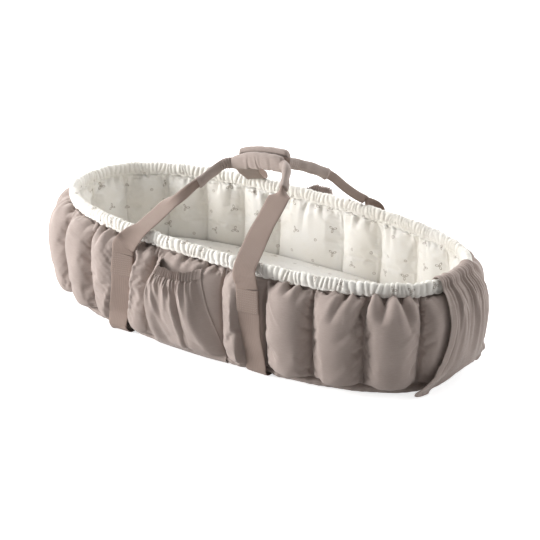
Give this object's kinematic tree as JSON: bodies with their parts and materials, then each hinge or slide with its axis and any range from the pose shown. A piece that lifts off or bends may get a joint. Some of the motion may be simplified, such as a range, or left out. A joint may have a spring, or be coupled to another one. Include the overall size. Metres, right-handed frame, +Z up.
{
  "type": "infant lounger",
  "caption": "Oval padded infant lounger with quilted channel walls, a gathered rim, a mattress, side pockets, a foot cover and webbing handles joined at a grip.",
  "frame": {"origin": "middle of the flat underside of the base, on the surface it stands on", "axes": "+X towards the foot end, +Y towards the rear wall, +Z up"},
  "size_m": [0.8141, 0.4358, 0.3083],
  "materials": {
    "outer_cloth": "matte cotton canvas",
    "lining": "matte printed cotton",
    "casing": "gathered cotton",
    "webbing": "woven cotton webbing",
    "wadding": "bonded fibre",
    "board": "plain sheet",
    "elastic": "knitted elastic",
    "zip": "coil zip",
    "tape": "hook and loop tape"
  },
  "bodies": {
    "root": {"outer_shell": "outer_cloth", "inner_lining": "lining", "rim_casing": "casing", "rim_elastic": "elastic", "base_cover": "outer_cloth", "base_board": "board", "base_wadding": "wadding", "inner_floor": "lining", "cradle_strap_head": "webbing", "cradle_strap_foot": "webbing", "front_tab_head": "webbing", "front_tab_foot": "webbing", "rear_tab_head": "webbing", "rear_tab_foot": "webbing", "front_pocket": "outer_cloth", "rear_pocket": "outer_cloth", "front_pocket_elastic": "elastic", "rear_pocket_elastic": "elastic", "foot_cover_band": "outer_cloth", "wadding_roll_01": "wadding", "wadding_roll_02": "wadding", "wadding_roll_03": "wadding", "wadding_roll_04": "wadding", "wadding_roll_05": "wadding", "wadding_roll_06": "wadding", "wadding_roll_07": "wadding", "wadding_roll_08": "wadding", "wadding_roll_09": "wadding", "wadding_roll_10": "wadding", "wadding_roll_11": "wadding", "wadding_roll_12": "wadding", "wadding_roll_13": "wadding", "wadding_roll_14": "wadding", "wadding_roll_15": "wadding", "wadding_roll_16": "wadding", "wadding_roll_17": "wadding", "wadding_roll_18": "wadding", "wadding_roll_19": "wadding", "wadding_roll_20": "wadding", "wadding_roll_21": "wadding", "wadding_roll_22": "wadding"},
    "front_handle": {"front_handle_webbing": "webbing", "front_grip_sleeve": "outer_cloth", "grip_loop_tape": "tape"},
    "rear_handle": {"rear_handle_webbing": "webbing"},
    "grip_leaf": {"rear_grip_leaf": "outer_cloth", "grip_hook_tape": "tape"},
    "mattress": {"mattress_core": "wadding", "mattress_cover": "lining", "mattress_zip": "zip", "mattress_zip_pull": "zip"},
    "foot_cover": {"foot_cover": "outer_cloth"}
  },
  "joints": [
    {"name": "front_handle_swing", "type": "hinge", "parent": "root", "child": "front_handle", "pos_m": [0, -0.1934, 0.152], "axis": [1, 0, 0], "range_deg": [0, 170]},
    {"name": "rear_handle_swing", "type": "hinge", "parent": "root", "child": "rear_handle", "pos_m": [0, 0.1934, 0.152], "axis": [-1, 0, 0], "range_deg": [0, 170]},
    {"name": "grip_leaf_open", "type": "hinge", "parent": "rear_handle", "child": "grip_leaf", "pos_m": [0.0007, 0.0142, 0.26911], "axis": [-0.9914, 0, -0.1309], "range_deg": [0, 110]},
    {"name": "mattress_lift", "type": "slide", "parent": "root", "child": "mattress", "axis": [0, 0, 1], "range_m": [0, 0.09]},
    {"name": "foot_cover_lift", "type": "hinge", "parent": "root", "child": "foot_cover", "pos_m": [0.3828, 0, 0.1688], "axis": [0, -1, 0], "range_deg": [0, 50]}
  ]
}
